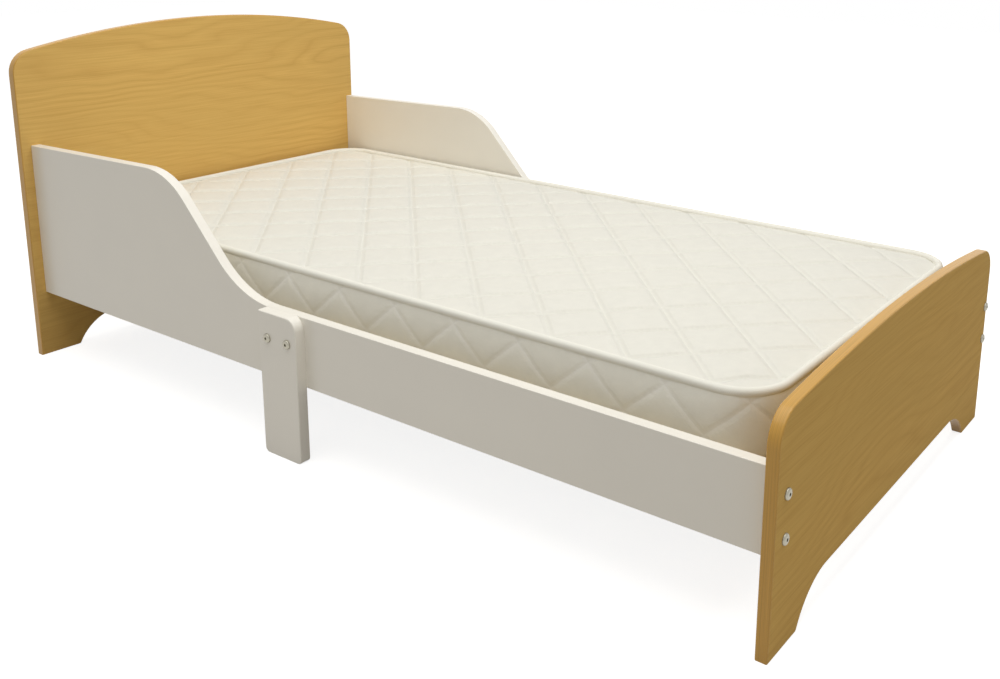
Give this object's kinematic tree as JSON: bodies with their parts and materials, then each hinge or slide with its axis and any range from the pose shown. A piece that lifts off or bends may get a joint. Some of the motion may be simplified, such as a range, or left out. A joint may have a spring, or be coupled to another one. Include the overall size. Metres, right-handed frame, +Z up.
{
  "type": "bed",
  "caption": "Toddler bed with arched wood-effect end boards, white side rails that rise into guards at the head, a slatted base and a quilted mattress.",
  "frame": {"origin": "on the floor under the middle of the bed", "axes": "X across the bed with the near side at -X, Y along it with the head at +Y, Z up"},
  "size_m": [0.7554, 1.4488, 0.577],
  "materials": {
    "beech_effect_board": "satin",
    "white_lacquered_board": "satin",
    "bare_pine": "matte",
    "nickel_plated_steel": "polished",
    "zinc_plated_steel": "satin",
    "quilted_fabric": "matte",
    "textile_tape": "matte",
    "piping_tape": "matte",
    "mattress_foam": "matte"
  },
  "bodies": {
    "frame": {"headboard": "beech_effect_board", "footboard": "beech_effect_board", "side_rail_left": "white_lacquered_board", "side_rail_right": "white_lacquered_board", "support_leg": "white_lacquered_board", "ledger_left": "bare_pine", "ledger_right": "bare_pine", "slat_01": "bare_pine", "slat_02": "bare_pine", "slat_03": "bare_pine", "slat_04": "bare_pine", "slat_05": "bare_pine", "slat_06": "bare_pine", "slat_07": "bare_pine", "slat_08": "bare_pine", "slat_09": "bare_pine", "slat_10": "bare_pine", "slat_11": "bare_pine", "slat_12": "bare_pine", "slat_13": "bare_pine", "slat_tapes": "textile_tape", "frame_bolts": "nickel_plated_steel", "frame_nuts": "zinc_plated_steel", "frame_dowels": "bare_pine"},
    "mattress": {"mattress_cover": "quilted_fabric", "mattress_core": "mattress_foam", "mattress_piping_top": "piping_tape", "mattress_piping_bottom": "piping_tape"}
  },
  "joints": [
    {"name": "mattress_lift", "type": "slide", "parent": "frame", "child": "mattress", "axis": [0, 0, 1], "range_m": [0, 0.45]}
  ]
}
